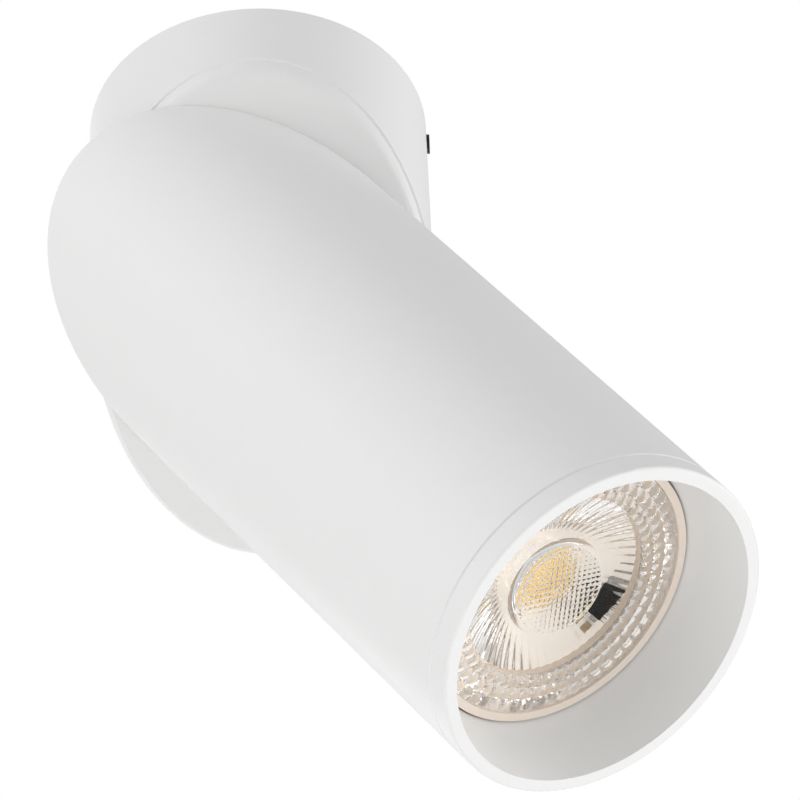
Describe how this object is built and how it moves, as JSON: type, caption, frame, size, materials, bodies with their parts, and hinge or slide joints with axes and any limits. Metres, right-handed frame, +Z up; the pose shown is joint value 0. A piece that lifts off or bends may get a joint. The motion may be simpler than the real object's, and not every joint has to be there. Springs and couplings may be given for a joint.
{
  "type": "surface-mounted swivel spotlight",
  "caption": "White ceiling spotlight: a short base cylinder and a lamp tube cut at the same slant, swivelling on each other to aim the lamp.",
  "frame": {"origin": "centre of the ceiling plane, on the base's axis, midway between the fixing slots", "axes": "+Z up into the ceiling, the base's short side towards -Y, the fixing slots along X"},
  "size_m": [0.1162, 0.0754, 0.1539],
  "materials": {
    "white_paint": "fine satin powder coat",
    "black_steel": "black oxide",
    "zinc_steel": "bright zinc plate",
    "spring_steel": "oiled spring steel",
    "brass": "plain brass",
    "black_rubber": "matt rubber",
    "ceramic": "unglazed steatite ceramic",
    "white_nylon": "moulded nylon",
    "lamp_plastic": "warm white moulded plastic",
    "clear_lens": "clear moulded acrylic with facets",
    "phosphor": "yellow phosphor",
    "white_board": "white solder mask",
    "chip_black": "black moulded package",
    "brown_insulation": "silicone insulation",
    "blue_insulation": "silicone insulation",
    "earth_insulation": "green and yellow insulation",
    "glass_sleeve": "woven glass-fibre sleeve"
  },
  "bodies": {
    "base": {"base_housing": "white_paint", "swivel_plate": "white_paint", "swivel_plate_screws": "zinc_steel", "pivot_nipple": "zinc_steel", "base_washer": "zinc_steel", "slip_washer": "white_nylon", "disc_spring": "spring_steel", "head_washer": "zinc_steel", "stop_pin": "zinc_steel", "base_nut": "zinc_steel", "head_nut": "zinc_steel", "base_lead_sleeve": "glass_sleeve", "ceiling_bracket": "zinc_steel", "cable_grommet": "black_rubber", "grub_screws": "black_steel", "terminal_block": "white_nylon", "terminal_sleeves": "brass", "terminal_screws": "zinc_steel", "terminal_block_screw": "zinc_steel", "earth_tag": "brass", "earth_screw": "zinc_steel", "live_lead": "brown_insulation", "neutral_lead": "blue_insulation", "earth_lead": "earth_insulation"},
    "head": {"lamp_tube": "white_paint", "lamp_lead_sleeve": "glass_sleeve", "holder_cap": "ceramic", "holder_body": "ceramic", "holder_contacts": "brass", "holder_bridge": "zinc_steel", "bridge_screws": "zinc_steel", "holder_screws": "zinc_steel", "lamp_live_lead": "brown_insulation", "lamp_neutral_lead": "blue_insulation"},
    "ring": {"front_ring": "white_paint", "ring_seal": "black_rubber"},
    "lamp": {"lamp_shell": "lamp_plastic", "lamp_cap": "lamp_plastic", "lamp_pins": "brass", "lamp_board": "white_board", "lamp_led": "phosphor", "lamp_chips": "chip_black", "lamp_lens": "clear_lens"}
  },
  "joints": [
    {"name": "head_swivel", "type": "hinge", "parent": "base", "child": "head", "pos_m": [0, 0, -0.04637], "axis": [0, -0.7071, -0.7071], "range_deg": [-215, 125]},
    {"name": "ring_pull", "type": "slide", "parent": "head", "child": "ring", "axis": [0.5, -0.1464, -0.8536], "range_m": [0, 0.025]},
    {"name": "lamp_twist", "type": "hinge", "parent": "head", "child": "lamp", "pos_m": [0.03, -0.00879, -0.09758], "axis": [0.5, -0.1464, -0.8536], "range_deg": [0, 45]}
  ]
}
